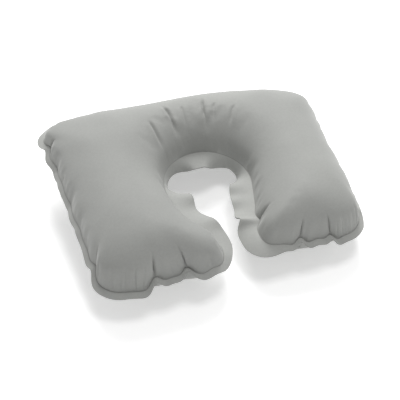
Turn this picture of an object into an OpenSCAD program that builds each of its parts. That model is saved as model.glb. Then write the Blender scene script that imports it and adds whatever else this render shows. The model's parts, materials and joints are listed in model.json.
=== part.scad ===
// Inflatable neck pillow: two flocked sheets welded together round a U-shaped
// air chamber, with a soft push-in mouth valve low on the back.
//
// Frame: millimetres, +Z up, the pillow lies on z = 0 under its two arms.
// The arms point to -Y, the back of the neck is +Y, and the origin is under
// the middle of the outline. X runs across the pillow.
//
// Each sheet is drawn as one closed shell. Stations run round the outline in
// pairs, one on the outer edge and one on the neck edge, and both climb to
// the same point on the ridge that follows the middle of the U.

/* [Outline] */
// Width across the two back corners, edge to edge
back_w = 380; // [350:1:410]
// Width across the front ends of the two arms
front_w = 346; // [320:1:390]
// Length from the front of the arms to the middle of the back
length_all = 280; // [262:1:300]
// How far the middle of the back edge stands out past its corners
back_bow = 19; // [4:1:24]
// How far the front edge of each arm is bowed
front_bow = 3; // [0:0.5:6]
// Corner radius at the back
back_corner_r = 33; // [26:1:44]
// Corner radius at the outer front of each arm
front_corner_r = 33; // [26:1:44]
// Corner radius at the inner front of each arm
inner_corner_r = 33; // [26:1:38]

/* [Neck opening] */
// Radius of the cut edge round the neck opening
neck_r = 31; // [27:1:38]
// Distance from the front of the arms to the centre of the neck opening
neck_y = 127; // [120:1:134]
// Free gap between the cut edges of the two arms
arm_gap = 19; // [14:1:26]

/* [Welded edge] */
// Width of the flat welded edge round the outside
outer_edge = 9; // [6:0.5:12]
// Width of the flat welded edge round the neck and between the arms
neck_edge = 25.5; // [20:0.5:28]
// Height of the waves in the neck edge
ruffle = 2.6; // [0:0.1:4]
// Number of waves in each half of the neck edge
ruffles = 4; // [2:1:6]
// Thickness of one flocked sheet
sheet_t = 0.8; // [0.6:0.1:1.2]

/* [Chamber] */
// Height of the weld line above the ground
seam_z = 50; // [46:0.5:54]
// Height of the chamber above the weld line in the arms
arm_rise = 53.2; // [50:0.2:58]
// Height of the chamber above the weld line at the back of the neck
back_rise = 46; // [40:0.5:50]
// Share of the rise that the front end of each arm has lost
tip_droop = 0.04; // [0:0.01:0.1]
// Distance from the front of the arms to where the ridge ends
ridge_end = 62; // [52:1:72]
// Share of the width, from the neck outward, at which the ridge runs
ridge_at = 0.46; // [0.42:0.01:0.54]

/* [Valve] */
// Angle below the weld line at which the valve sits on the back
valve_angle = 30; // [26:1:34]
// Outer radius of the fixed valve collar
collar_r = 13; // [12:0.25:13.5]
// Radius of the open well in the collar
well_r = 9.5; // [9.2:0.1:10]
// Height of the collar above the sheet
collar_up = 1; // [0.8:0.1:1.4]
// Depth of the collar below the sheet
collar_down = 5; // [4.8:0.1:6]
// Radius of the inner welding flange
flange_r = 15.5; // [14.5:0.25:16]
// Thickness of the inner welding flange
flange_t = 0.8; // [0.6:0.1:0.9]
// Wall of the folding boot round the stem
boot_t = 0.8; // [0.6:0.1:1]

/* [Stem] */
// Outer radius of the stem
stem_r = 4.5; // [4.3:0.1:4.8]
// Radius of the air bore
bore_r = 3; // [2.8:0.1:3.1]
// Length of the stem
stem_len = 19; // [18:0.5:20]
// Height of the stem's mouth above the sheet when it is pushed in
mouth_up = 3; // [2.8:0.1:3.4]
// Radius of the rim round the mouth
rim_r = 5.6; // [5.4:0.1:6]
// Thickness of the rim
rim_t = 1.2; // [1:0.1:1.4]
// Radius of the foot at the inner end of the stem
foot_r = 5.4; // [5.2:0.1:5.8]
// Thickness of the check flap
flap_t = 0.45; // [0.4:0.05:0.6]

/* [Stopper] */
// Distance from the stem's centre to the folding web of the stopper
web_at = 9.5; // [9.4:0.1:9.8]
// Width of the strap and of its lug
strap_w = 4; // [3:0.5:5]
// Thickness of the strap
strap_t = 0.8; // [0.6:0.1:1]
// Length of the plug inside the bore
plug_len = 4; // [3:0.5:4.5]
// Radius of the plug at its tip
plug_tip_r = 2.1; // [1.9:0.1:2.2]
// Thickness of the stopper's cap
cap_t = 1.2; // [1:0.1:1.6]
// How far the pull tab stands out past the cap
tab_len = 3; // [2:0.5:4]

/* [Hidden] */
// Stations on half of the outline: round the arm's end, and in all
n_tip = 8;
n_half = 25;
n_all = 4 * n_half;
// Steps from the weld line up to the ridge, and how close the last one comes
n_rise = 8;
last_turn = 86.5;
// Points on each drawn corner and arc of the outline
n_arc = 12;
// Clearance of faces that move past each other or rest together
gap = 0.1;
// Facets of the round parts
$fn = 64;

y_front = -length_all / 2;
y_corner = length_all / 2 - back_bow;
neck_c = y_front + neck_y;
arm_mid = ridge_x(0);
ridge_tip = y_front + ridge_end;
ridge_turn = neck_c + 18;
neck_back = neck_c + neck_r + neck_edge;
back_in = length_all / 2 - outer_edge;
ridge_back = neck_back + (back_in - neck_back) * (ridge_at - 0.03);

// middle of an arm's width, at the front (f = 0) and beside the neck (f = 1)
function ridge_x(f) = let (
    a = arm_gap / 2 + neck_edge,
    b = neck_r + neck_edge,
    inner = a + (b - a) * f,
    outer = front_w / 2 - outer_edge + (back_w - front_w) / 4 * f
) inner + (outer - inner) * ridge_at;

function arc(c, r, a0, a1) = [
    for (i = [0:n_arc])
        let (a = a0 + (a1 - a0) * i / n_arc)
            c + r * [cos(a), sin(a)]
];

// outer edge of the right half, from the front of the arm to mid back, set in by d
function outer_path(d) = let (
    rf = front_corner_r - d / 2,
    rb = back_corner_r - d / 2,
    xf = front_w / 2 - d - rf,
    xb = back_w / 2 - d - rb,
    yf = y_front + d
) concat(
    [for (i = [0:5])
        let (x = arm_mid + (xf - arm_mid) * i / 6)
            [x, yf + front_bow * pow(i / 6, 2)]],
    arc([xf, yf + rf + front_bow], rf, -90, 0),
    arc([xb, y_corner - d - rb], rb, 0, 90 - back_bow / xb * 40),
    [for (i = [1:9])
        let (x = xb * (1 - i / 9))
            [x, y_corner - d + back_bow * (1 - pow(x / xb, 2))]]
);

// neck edge of the right half, from the front of the arm to mid neck;
// d is the set-in of the front edge and e that of the neck edge
function inner_path(d, e) = let (
    r = inner_corner_r - e * 0.62,
    xs = arm_gap / 2 + e,
    yf = y_front + d,
    rn = neck_r + e,
    a = [xs, yf + r + front_bow],
    turn = atan2(a[1] - neck_c, a[0]) + acos(rn / norm([a[0], a[1] - neck_c]))
) concat(
    [for (i = [0:5])
        let (x = arm_mid + (xs + r - arm_mid) * i / 6)
            [x, yf + front_bow * pow(i / 6, 2)]],
    arc([xs + r, a[1]], r, 270, 180),
    arc([0, neck_c], rn, turn, 90)
);

// ridge of the right half, from the arm's end to mid back
ridge_path = concat(
    [for (i = [0:5])
        let (f = i / 6)
            [ridge_x(f), ridge_tip + (ridge_turn - ridge_tip) * f]],
    [for (i = [0:n_arc])
        let (a = 90 * i / n_arc)
            [ridge_x(1) * cos(a), ridge_turn + (ridge_back - ridge_turn) * sin(a)]]
);

function run(p) = [
    for (i = 0, s = 0; i < len(p); s = s + (i + 1 < len(p) ? norm(p[i + 1] - p[i]) : 0), i = i + 1)
        s
];

// point at the share f of a path's length
function along(p, f) = let (
    s = run(p),
    at = f * s[len(s) - 1]
) [
    lookup(at, [for (i = [0:len(p) - 1]) [s[i], p[i][0]]]),
    lookup(at, [for (i = [0:len(p) - 1]) [s[i], p[i][1]]])
];

// share of a path that belongs to the arm's end, up to the side's first point
function tip_share(p, y) = let (
    s = run(p),
    k = [for (i = [6:len(p) - 1]) if (p[i][1] >= y) i]
) s[k[0]] / s[len(s) - 1];

// half a loop: the arm's end takes the first n_tip steps
function stations(p, split) = [
    for (j = [0:n_half])
        along(p, j < n_tip ? split * j / n_tip : split + (1 - split) * (j - n_tip) / (n_half - n_tip))
];

outer_split = tip_share(outer_path(outer_edge), y_front + outer_edge + front_corner_r - 5);
inner_split = tip_share(inner_path(outer_edge, neck_edge), y_front + outer_edge + inner_corner_r - 16);

cut_out = stations(outer_path(0), outer_split);
mid_out = stations(outer_path(outer_edge / 2), outer_split);
weld_out = stations(outer_path(outer_edge), outer_split);
cut_in = stations(inner_path(0, 0), inner_split);
mid_in = stations(inner_path(outer_edge / 2, neck_edge / 2), inner_split);
weld_in = stations(inner_path(outer_edge, neck_edge), inner_split);
ridge = [for (j = [0:n_half]) along(ridge_path, max(0, j - n_tip) / (n_half - n_tip))];

// station k of the whole loop: its number in the half, its side, its edge
function half_no(k) = abs((k + n_half) % (2 * n_half) - n_half);
function hand(k) = k <= n_half || k > 3 * n_half ? 1 : -1;
function loop_at(outer, inner, k) = let (
    p = k <= 2 * n_half ? outer[half_no(k)] : inner[half_no(k)]
) [hand(k) * p[0], p[1]];

function rise(k) = let (u = max(0, half_no(k) - n_tip) / (n_half - n_tip))
    (arm_rise + (back_rise - arm_rise) * pow(u, 1.6)) * (1 - tip_droop * pow(1 - u, 6));

// height of the meeting faces of the welded edge; q is 0 at the cut, 1 at the weld
function seam(k, q) = seam_z + (k > 2 * n_half
    ? (1 - q) * ruffle * sin(180 * min(1, 2 * half_no(k) / n_half))
        + (1 - q) * ruffle * (half_no(k) > n_tip ? cos(360 * ruffles * (half_no(k) - n_tip) / (n_half - n_tip)) - 1 : 0) / 2
    : 0);

// the rise from the weld to the ridge as a quarter turn; up is 1 or -1
function air_point(k, turn, up) = let (
    w = loop_at(weld_out, weld_in, k),
    m = loop_at(ridge, ridge, k),
    p = w + (m - w) * (1 - cos(turn)),
    z = seam_z + up * rise(k) * sin(turn)
) [p[0], p[1], max(z, sheet_t)];

function skin_point(k, turn, up) = let (
    w = loop_at(weld_out, weld_in, k),
    m = loop_at(ridge, ridge, k),
    d = (m - w) / norm(m - w),
    side = rise(k) * cos(turn),
    over = norm(m - w) * sin(turn),
    t = sheet_t / norm([side, over]),
    p = w + (m - w) * (1 - cos(turn)) - d * side * t,
    z = seam_z + up * (rise(k) * sin(turn) + over * t)
) [p[0], p[1], max(z, 0)];

function edge_point(k, q, lift) = let (
    c = loop_at(cut_out, cut_in, k),
    m = loop_at(mid_out, mid_in, k),
    w = loop_at(weld_out, weld_in, k),
    p = q < 0.5 ? c : q < 1 ? m : w
) [p[0], p[1], seam(k, q) + lift];

n_rings = 3 + n_rise;
function skin_at(k, r, up) = r < 3
    ? edge_point(k, r / 2, up * sheet_t)
    : skin_point(k, last_turn * (r - 2) / n_rise, up);
function air_at(k, r, up) = r < 3
    ? edge_point(k, r / 2, 0)
    : air_point(k, last_turn * (r - 2) / n_rise, up);

function quad(a, b, c, d) = [[a, b, c], [a, c, d]];
function vert(side, r, k) = side * n_rings * n_all + r * n_all + k % n_all;

module sheet(up) {
    points = concat(
        [for (r = [0:n_rings - 1], k = [0:n_all - 1]) skin_at(k, r, up)],
        [for (r = [0:n_rings - 1], k = [0:n_all - 1]) air_at(k, r, up)]
    );
    last = n_rings - 1;
    tip = 2 * n_half;
    skin = [
        for (r = [0:last - 1], k = [0:n_all - 1])
            each quad(vert(0, r, k), vert(0, r + 1, k), vert(0, r + 1, k + 1), vert(0, r, k + 1))
    ];
    air = [
        for (r = [0:last - 1], k = [0:n_all - 1])
            each quad(vert(1, r, k), vert(1, r, k + 1), vert(1, r + 1, k + 1), vert(1, r + 1, k))
    ];
    rim = [
        for (k = [0:n_all - 1])
            each quad(vert(0, 0, k), vert(0, 0, k + 1), vert(1, 0, k + 1), vert(1, 0, k))
    ];
    skin_top = concat(
        [[vert(0, last, 0), vert(0, last, n_all - 1), vert(0, last, 1)]],
        [[vert(0, last, tip - 1), vert(0, last, tip + 1), vert(0, last, tip)]],
        [for (k = [1:tip - 2])
            each quad(vert(0, last, k), vert(0, last, n_all - k),
                vert(0, last, n_all - k - 1), vert(0, last, k + 1))]
    );
    air_top = concat(
        [[vert(1, last, 0), vert(1, last, 1), vert(1, last, n_all - 1)]],
        [[vert(1, last, tip - 1), vert(1, last, tip), vert(1, last, tip + 1)]],
        [for (k = [1:tip - 2])
            each quad(vert(1, last, k), vert(1, last, k + 1),
                vert(1, last, n_all - k - 1), vert(1, last, n_all - k))]
    );
    faces = concat(skin, air, rim, skin_top, air_top);
    polyhedron(points, up > 0 ? faces : [for (f = faces) [f[0], f[2], f[1]]], convexity = 8);
}

// where the valve sits: on the middle of the back, square to the sheet
valve_reach = back_in - ridge_back;
valve_tilt = atan2(valve_reach * sin(valve_angle), back_rise * cos(valve_angle));
valve_y = back_in - valve_reach * (1 - cos(valve_angle)) + sheet_t * cos(valve_tilt);
valve_z = seam_z - back_rise * sin(valve_angle) - sheet_t * sin(valve_tilt);

// the valve's own frame: +Z out of the pillow, -Y towards the weld line
module at_valve() {
    translate([0, valve_y, valve_z])
        rotate([-90 - valve_tilt, 0, 0])
            children();
}

mouth = mouth_up;
foot = mouth_up - stem_len;
cap_z = mouth_up + gap;
web_z = mouth_up - 0.6;

// Piece to draw

module upper_panel() {
    color([0.62, 0.62, 0.60])
        sheet(1);
}

module lower_panel() {
    color([0.60, 0.60, 0.58])
        difference() {
            sheet(-1);
            at_valve()
                translate([0, 0, -12])
                    cylinder(r = collar_r, h = 20);
        }
}

module valve_collar() {
    color([0.86, 0.87, 0.86])
        at_valve()
            rotate_extrude()
                polygon([
                    [well_r, -collar_down],
                    [flange_r, -collar_down],
                    [flange_r, -collar_down + flange_t],
                    [collar_r, -collar_down + flange_t],
                    [collar_r, collar_up - 0.5],
                    [collar_r - 0.5, collar_up],
                    [well_r + 0.4, collar_up],
                    [well_r, collar_up - 0.4]
                ]);
}

module valve_boot() {
    top = -collar_down;
    base = foot + 1 + gap;
    color([0.84, 0.85, 0.84])
        at_valve()
            rotate_extrude()
                polygon([
                    [well_r, top],
                    [well_r + 2, top],
                    [well_r + 2, top - boot_t],
                    [well_r + 0.6, top - boot_t],
                    [well_r - 1.3, base + 0.6],
                    [well_r - 2, base],
                    [stem_r + gap, base],
                    [stem_r + gap, base + boot_t],
                    [well_r - 2.2, base + boot_t]
                ]);
}

module valve_stem() {
    color([0.88, 0.89, 0.88])
        at_valve()
            difference() {
                union() {
                    rotate_extrude()
                        polygon([
                            [0, foot],
                            [foot_r, foot],
                            [foot_r, foot + 1],
                            [stem_r, foot + 1],
                            [stem_r, mouth - rim_t - 0.8],
                            [rim_r, mouth - rim_t],
                            [rim_r, mouth - 0.3],
                            [rim_r - 0.3, mouth],
                            [0, mouth]
                        ]);
                    translate([-strap_w / 2, -web_at + 1.1, mouth - rim_t])
                        cube([strap_w, web_at - 1.1 - bore_r - 0.5, rim_t - 0.1]);
                }
                translate([0, 0, foot - 1])
                    cylinder(r = bore_r, h = stem_len + 2);
            }
}

module check_flap() {
    color([0.9, 0.9, 0.9])
        at_valve()
            translate([0, 0, foot - 0.05 - flap_t])
                cylinder(r = stem_r - 0.1, h = flap_t);
}

module stopper_strap() {
    color([0.88, 0.89, 0.88])
        at_valve() {
            translate([-strap_w / 2, -web_at, cap_z])
                cube([strap_w, web_at - rim_r + 0.2, strap_t]);
            translate([-strap_w / 2, -web_at, web_z])
                rotate([0, 90, 0])
                    cylinder(r = 0.9, h = strap_w);
            translate([-strap_w / 2, -web_at - 0.9, web_z])
                cube([strap_w, 0.9, cap_z + strap_t - web_z]);
        }
}

module stopper() {
    color([0.88, 0.89, 0.88])
        at_valve()
            difference() {
                union() {
                    rotate_extrude()
                        polygon([
                            [0, mouth - plug_len],
                            [plug_tip_r - 0.3, mouth - plug_len],
                            [plug_tip_r, mouth - plug_len + 0.3],
                            [bore_r - gap, mouth],
                            [bore_r - gap, cap_z],
                            [rim_r, cap_z],
                            [rim_r, cap_z + cap_t - 0.4],
                            [rim_r - 0.4, cap_z + cap_t],
                            [0, cap_z + cap_t]
                        ]);
                    translate([-strap_w / 2, 0, cap_z])
                        cube([strap_w, rim_r + tab_len, strap_t]);
                }
                translate([-strap_w / 2 - 0.01, -rim_r - 1, cap_z - 0.01])
                    cube([strap_w + 0.02, 1.2, strap_t + 0.01]);
            }
}

upper_panel();
lower_panel();
valve_collar();
valve_boot();
valve_stem();
check_flap();
stopper_strap();
stopper();
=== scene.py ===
# %% [markdown]
# # An inflatable camp pillow
# The pillow is two sheets of flocked vinyl, cut to a U and welded together
# round their edges, with a small push-in valve low on the back. This lesson
# inflates two flat sheets by cloth simulation, as air does, then adds the
# folds at the weld, the flat welded edge, the flocking and the clear valve.
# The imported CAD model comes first, because everything is built round it. The
# camera and lamps are placed in metres, and the sheets are worked out in
# millimetres until their points are written to a mesh.

# %% Load the frame
import json
import math

import bmesh
import bpy
import numpy as np
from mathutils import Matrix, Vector
from mathutils.geometry import delaunay_2d_cdt


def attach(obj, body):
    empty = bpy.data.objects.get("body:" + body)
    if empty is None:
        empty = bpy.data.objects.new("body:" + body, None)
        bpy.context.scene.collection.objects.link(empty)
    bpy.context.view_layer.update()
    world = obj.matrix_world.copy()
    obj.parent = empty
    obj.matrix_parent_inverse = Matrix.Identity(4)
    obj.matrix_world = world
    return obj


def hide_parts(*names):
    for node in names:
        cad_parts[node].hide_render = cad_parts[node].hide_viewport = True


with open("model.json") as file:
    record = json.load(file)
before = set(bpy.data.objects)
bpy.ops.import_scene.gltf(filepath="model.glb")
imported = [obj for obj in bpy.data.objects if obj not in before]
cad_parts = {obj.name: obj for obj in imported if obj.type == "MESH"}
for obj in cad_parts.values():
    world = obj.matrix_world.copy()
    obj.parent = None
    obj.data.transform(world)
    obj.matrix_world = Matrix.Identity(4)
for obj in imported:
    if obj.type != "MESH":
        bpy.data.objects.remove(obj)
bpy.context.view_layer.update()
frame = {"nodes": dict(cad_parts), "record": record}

MM = 0.001

# %% [markdown]
# ## Camera, light and floor
# The pillow lies on a pale floor and is seen from the front, a little from
# its left arm, at nearly fifty degrees above the ground. Hard lamps would
# make the soft sheets look like plastic, so two large soft lamps, above the
# pillow and above its back, work with a bright even sky and leave only weak
# shadows. The floor glows a little, which keeps it white under them.

# %% Camera
AIM = Vector((0.0, -0.0142, 0.050))
AZIMUTH, ELEVATION, DISTANCE = math.radians(-17.25), math.radians(48.1), 0.987
towards_eye = Vector((
    math.sin(AZIMUTH) * math.cos(ELEVATION),
    -math.cos(AZIMUTH) * math.cos(ELEVATION),
    math.sin(ELEVATION),
))
camera_data = bpy.data.cameras.new("eye")
camera_data.lens = 70.35
camera_data.sensor_width = 36.0
camera_data.shift_x = -0.0208
camera_data.shift_y = -0.036
camera = bpy.data.objects.new("eye", camera_data)
camera.location = AIM + towards_eye * DISTANCE
camera.rotation_euler = (-towards_eye).to_track_quat("-Z", "Y").to_euler()
bpy.context.scene.collection.objects.link(camera)
bpy.context.scene.camera = camera
print("camera at", [round(v, 3) for v in camera.location])


# %% Light and floor
def add_lamp(name, place, size, power):
    """A square soft lamp that looks at the pillow."""
    data = bpy.data.lights.new(name, "AREA")
    data.size, data.energy = size, power
    lamp = bpy.data.objects.new(name, data)
    lamp.location = place
    lamp.rotation_euler = (AIM - Vector(place)).to_track_quat("-Z", "Y").to_euler()
    bpy.context.scene.collection.objects.link(lamp)


add_lamp("soft_top", (0.30, 0.0, 1.6), 0.45, 6.5)
add_lamp("soft_back", (0.22, 1.12, 1.32), 0.9, 24.0)

sky = bpy.data.worlds.new("studio")
sky.use_nodes = True
sky.node_tree.nodes["Background"].inputs[0].default_value = (1, 1, 1, 1)
sky.node_tree.nodes["Background"].inputs[1].default_value = 0.47
bpy.context.scene.world = sky
bpy.context.scene.view_settings.view_transform = "Standard"

FLOOR_SIZE, FLOOR_DROP = 8.0, 0.0003
bpy.ops.object.select_all(action="DESELECT")
bpy.ops.mesh.primitive_plane_add(size=FLOOR_SIZE, location=(0, 0, -FLOOR_DROP))
floor = bpy.context.object
floor.name = "floor"
floor_paint = bpy.data.materials.new("white_floor")
floor_paint.use_nodes = True
floor_shader = floor_paint.node_tree.nodes["Principled BSDF"]
floor_shader.inputs["Base Color"].default_value = (0.93, 0.93, 0.93, 1)
floor_shader.inputs["Roughness"].default_value = 0.9
floor_shader.inputs["Emission Color"].default_value = (1, 1, 1, 1)
floor_shader.inputs["Emission Strength"].default_value = 0.34
floor.data.materials.append(floor_paint)
print("two lamps, a white sky and a floor")

# %% [markdown]
# ## The line of the weld
# The weld is the one line that both sheets share, so it comes first. It could
# be drawn as a free curve, but arcs and straight runs from a few named sizes
# keep it on the CAD model's line. It is built for the right half only: from
# the middle of the back, round the outside to the front of the arm, and back
# along the neck edge.

# %% Outline sizes, in mm
BACK_W, FRONT_W, LENGTH = 380.0, 346.0, 280.0
BACK_BOW, FRONT_BOW = 19.0, 3.0
CORNER_R = 33.0
NECK_R, NECK_Y, ARM_GAP = 31.0, 127.0, 19.0
OUTER_EDGE, NECK_EDGE = 9.0, 25.5
SEAM_Z = 50.0
FRONT_Y = -LENGTH / 2
BACK_Y = LENGTH / 2 - BACK_BOW
NECK_CENTRE_Y = FRONT_Y + NECK_Y
WELD_NECK_R = NECK_R + NECK_EDGE
arm_inner = ARM_GAP / 2 + NECK_EDGE
arm_outer = FRONT_W / 2 - OUTER_EDGE
ARM_MIDDLE = arm_inner + 0.46 * (arm_outer - arm_inner)
print("the arm is", round(arm_outer - arm_inner), "mm wide between its welds")


# %% Points of the weld line
FRONT_STEPS, BACK_STEPS = 12, 18
BACK_SLOPE = 40.0    # degrees that the back corner's arc stops short by, per bow
NECK_CORNER_SHARE = 0.62


def arc(centre, radius, start, end, steps=24):
    """Points on an arc, with the angles in degrees."""
    angles = np.radians(np.linspace(start, end, steps + 1))
    return np.stack([centre[0] + radius * np.cos(angles),
                     centre[1] + radius * np.sin(angles)], 1)


def front_run(x_end, y):
    """The slightly bowed front edge, from the arm's middle to a corner."""
    share = np.arange(FRONT_STEPS) / FRONT_STEPS
    return np.stack([ARM_MIDDLE + (x_end - ARM_MIDDLE) * share,
                     y + FRONT_BOW * share ** 2], 1)


def outer_weld():
    """From the middle of the arm's front, round the outside, to mid back."""
    inset = OUTER_EDGE
    front_r = back_r = CORNER_R - inset / 2
    front_x = FRONT_W / 2 - inset - front_r
    back_x = BACK_W / 2 - inset - back_r
    y = FRONT_Y + inset
    share = 1 - np.arange(1, BACK_STEPS + 1) / BACK_STEPS
    back_run = np.stack([back_x * share,
                         BACK_Y - inset + BACK_BOW * (1 - share ** 2)], 1)
    return np.concatenate([
        front_run(front_x, y),
        arc((front_x, y + front_r + FRONT_BOW), front_r, -90, 0),
        arc((back_x, BACK_Y - inset - back_r), back_r, 0,
            90 - BACK_BOW / back_x * BACK_SLOPE),
        back_run,
    ])


def neck_weld():
    """From the middle of the arm's front, along the neck, to mid neck."""
    corner_r = CORNER_R - NECK_EDGE * NECK_CORNER_SHARE
    corner = (arm_inner + corner_r, FRONT_Y + OUTER_EDGE + corner_r + FRONT_BOW)
    side = (arm_inner, corner[1])
    reach = math.hypot(side[0], side[1] - NECK_CENTRE_Y)
    turn = math.degrees(math.atan2(side[1] - NECK_CENTRE_Y, side[0])
                        + math.acos(WELD_NECK_R / reach))
    return np.concatenate([
        front_run(corner[0], FRONT_Y + OUTER_EDGE),
        arc(corner, corner_r, 270, 180),
        arc((0, NECK_CENTRE_Y), WELD_NECK_R, turn, 90),
    ])


print("arcs and runs:", len(outer_weld()), "points outside,", len(neck_weld()),
      "points along the neck")


# %% Even stations on half of the weld
def length_along(points):
    """Distance from the first point to each point, along the line."""
    steps = np.linalg.norm(np.diff(points, axis=0), axis=1)
    return np.concatenate([[0.0], np.cumsum(steps)])


def evenly(points, count):
    """The same line, as count even steps."""
    run = length_along(points)
    places = np.linspace(0, run[-1], count + 1)
    return np.stack([np.interp(places, run, points[:, k])
                     for k in range(points.shape[1])], 1)


OUTER_STEPS, NECK_STEPS = 70, 36
weld_half = np.concatenate([evenly(outer_weld(), OUTER_STEPS)[::-1],
                            evenly(neck_weld(), NECK_STEPS)[1:]])
print("half of the weld line is", round(length_along(weld_half)[-1]), "mm long")


# %% Both halves, and the direction away from the air
def whole(half):
    """A closed loop from its right half."""
    left = half[::-1][1:-1].copy()
    left[:, 0] *= -1
    return np.concatenate([half, left])


def unit(rows):
    """Rows of numbers as directions of length 1."""
    return rows / np.linalg.norm(rows, axis=1)[:, None]


def outward(loop):
    """The unit direction away from the air at each point of a closed loop."""
    along = unit(np.roll(loop, -1, 0) - np.roll(loop, 1, 0))
    return np.stack([-along[:, 1], along[:, 0]], 1)


def even_out(values, reach, ends="edge"):
    """A running mean over 2 * reach + 1 values."""
    window = np.ones(2 * reach + 1) / (2 * reach + 1)
    if values.ndim == 1:
        return np.convolve(np.pad(values, reach, mode=ends), window, "valid")
    return np.stack([even_out(values[:, k], reach, ends)
                     for k in range(values.shape[1])], 1)


def ease(share):
    """A smooth step from 0 to 1."""
    share = np.clip(share, 0, 1)
    return share * share * (3 - 2 * share)


weld_loop = whole(weld_half)
print("the weld line has", len(weld_loop), "stations")

# %% [markdown]
# ## The flat cut of the sheets
# A pillow like this starts as two flat sheets. Air rounds them, which draws
# the edges in, so the flat sheets are cut larger than the finished outline:
# by about 50 mm on the long sides and the back, by less at the front of the
# arms, and by little at the corners and the neck. A sheet modelled straight
# in its full shape would lack the tension lines that this cut gives.

# %% How far the flat cut stands out past the finished weld
GROW_BACK, GROW_SIDE, GROW_FRONT, GROW_CORNER = 50.0, 48.0, 38.0, 15.0
GROW_NECK = 7.0
CORNER_REACH, NECK_REACH = 45.0, 60.0
OUTER_INSET, INNER_INSET = 14.0, 4.0
run = length_along(weld_half)


def run_at(x, y):
    """Where along the half outline the point nearest to (x, y) is."""
    return run[np.argmin(np.hypot(weld_half[:, 0] - x, weld_half[:, 1] - y))]


back_corner = run_at(BACK_W / 2 - OUTER_INSET, BACK_Y - OUTER_INSET)
outer_corner = run_at(FRONT_W / 2 - OUTER_INSET, FRONT_Y + OUTER_INSET)
inner_corner = run_at(arm_inner + INNER_INSET,
                      FRONT_Y + OUTER_EDGE + INNER_INSET)


def between(start, end):
    """0 at two corners and 1 between them."""
    near = np.minimum(run - start, end - run)
    return ease(near / CORNER_REACH)


growth = np.select(
    [run <= back_corner, run <= outer_corner, run <= inner_corner],
    [GROW_CORNER + (GROW_BACK - GROW_CORNER)
     * ease((back_corner - run) / CORNER_REACH),
     GROW_CORNER + (GROW_SIDE - GROW_CORNER) * between(back_corner, outer_corner),
     GROW_CORNER * np.clip((inner_corner - run)
                           / (inner_corner - outer_corner), 0, 1)
     + (GROW_FRONT - GROW_CORNER / 2) * between(outer_corner, inner_corner)],
    GROW_NECK * ease((run - inner_corner) / NECK_REACH))
growth = even_out(growth, 3)
spread = unit(even_out(outward(weld_loop)[:len(weld_half)], 5))
spread[0] = (0, 1)
cut_half = weld_half + spread * growth[:, None]
cut_half[[0, -1], 0] = 0
cut_loop = whole(cut_half)
print("each sheet's weld is cut", round(np.ptp(cut_loop[:, 0])), "by",
      round(np.ptp(cut_loop[:, 1])), "mm")


# %% Which points a loop holds, and how far they are from it
def is_inside(points, loop):
    """True for each point that a closed loop holds."""
    x, y = points[:, 0], points[:, 1]
    held = np.zeros(len(points), bool)
    for (x1, y1), (x2, y2) in zip(loop, np.roll(loop, -1, 0)):
        crosses = (y1 > y) != (y2 > y)
        held ^= crosses & (x < (x2 - x1) * (y - y1) / (y2 - y1 + 1e-30) + x1)
    return held


def distance_to(points, loop):
    """How far each point is from a closed loop."""
    nearest = np.full(len(points), 1e9)
    for a, b in zip(loop, np.roll(loop, -1, 0)):
        side = b - a
        share = np.clip(((points - a) @ side) / max(side @ side, 1e-9), 0, 1)
        gap = np.linalg.norm(points - a - share[:, None] * side, axis=1)
        nearest = np.minimum(nearest, gap)
    return nearest


print("at the middle of the back the cut is",
      distance_to(cut_half[:1], weld_loop)[0].round(1), "mm past the weld")

# %% Triangles for the flat sheet
STEP = 5.5
GRID_X, GRID_Y = 270.0, 260.0
RIM_CLEARANCE = 0.55    # of a step, between the rim and the first grid points
closed = np.concatenate([cut_loop, cut_loop[:1]])
along_cut = length_along(closed)
rim_count = int(round(along_cut[-1] / STEP / 2)) * 2
places = np.linspace(0, along_cut[-1], rim_count + 1)[:-1]
rim_flat = np.stack([np.interp(places, along_cut, closed[:, k])
                     for k in (0, 1)], 1)
rim_station = np.interp(places, along_cut, np.arange(len(closed)))
row_height = STEP * math.sqrt(3) / 2
grid = np.array([(i * STEP + (j % 2) * STEP / 2, j * row_height)
                 for j in range(int(-GRID_Y / row_height),
                                int(GRID_Y / row_height))
                 for i in range(int(-GRID_X / STEP), int(GRID_X / STEP))])
grid = grid[is_inside(grid, rim_flat)]
grid = grid[distance_to(grid, rim_flat) > RIM_CLEARANCE * STEP]
spots = [Vector(p) for p in np.concatenate([rim_flat, grid])]
rim_edges = [(i, (i + 1) % rim_count) for i in range(rim_count)]
made = delaunay_2d_cdt(spots, rim_edges, [], 0, 1e-5)
flat_points = np.array([tuple(p) for p in made[0]])
source = [old[0] if old else -1 for old in made[3]]
triangles = np.array([tuple(f) for f in made[2]])
middles = flat_points[triangles].mean(1)
triangles = triangles[is_inside(middles, rim_flat)]
rim_index = np.full(rim_count, -1)
for new, old in enumerate(source):
    if 0 <= old < rim_count:
        rim_index[old] = new
print(len(flat_points), "points and", len(triangles), "triangles in a sheet")

# %% [markdown]
# ## Where the weld lies when the pillow is full
# A tight sheet can't shorten its edge smoothly, so the weld gathers into
# notches with rounded lobes between them, which is what makes the edge of
# every inflatable look scalloped. Cloth would gather at places of its own, so
# the notches are chosen here, by their place, how deep they are and how far
# each fold runs up the sheet, and the cloth is made to follow them.

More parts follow.
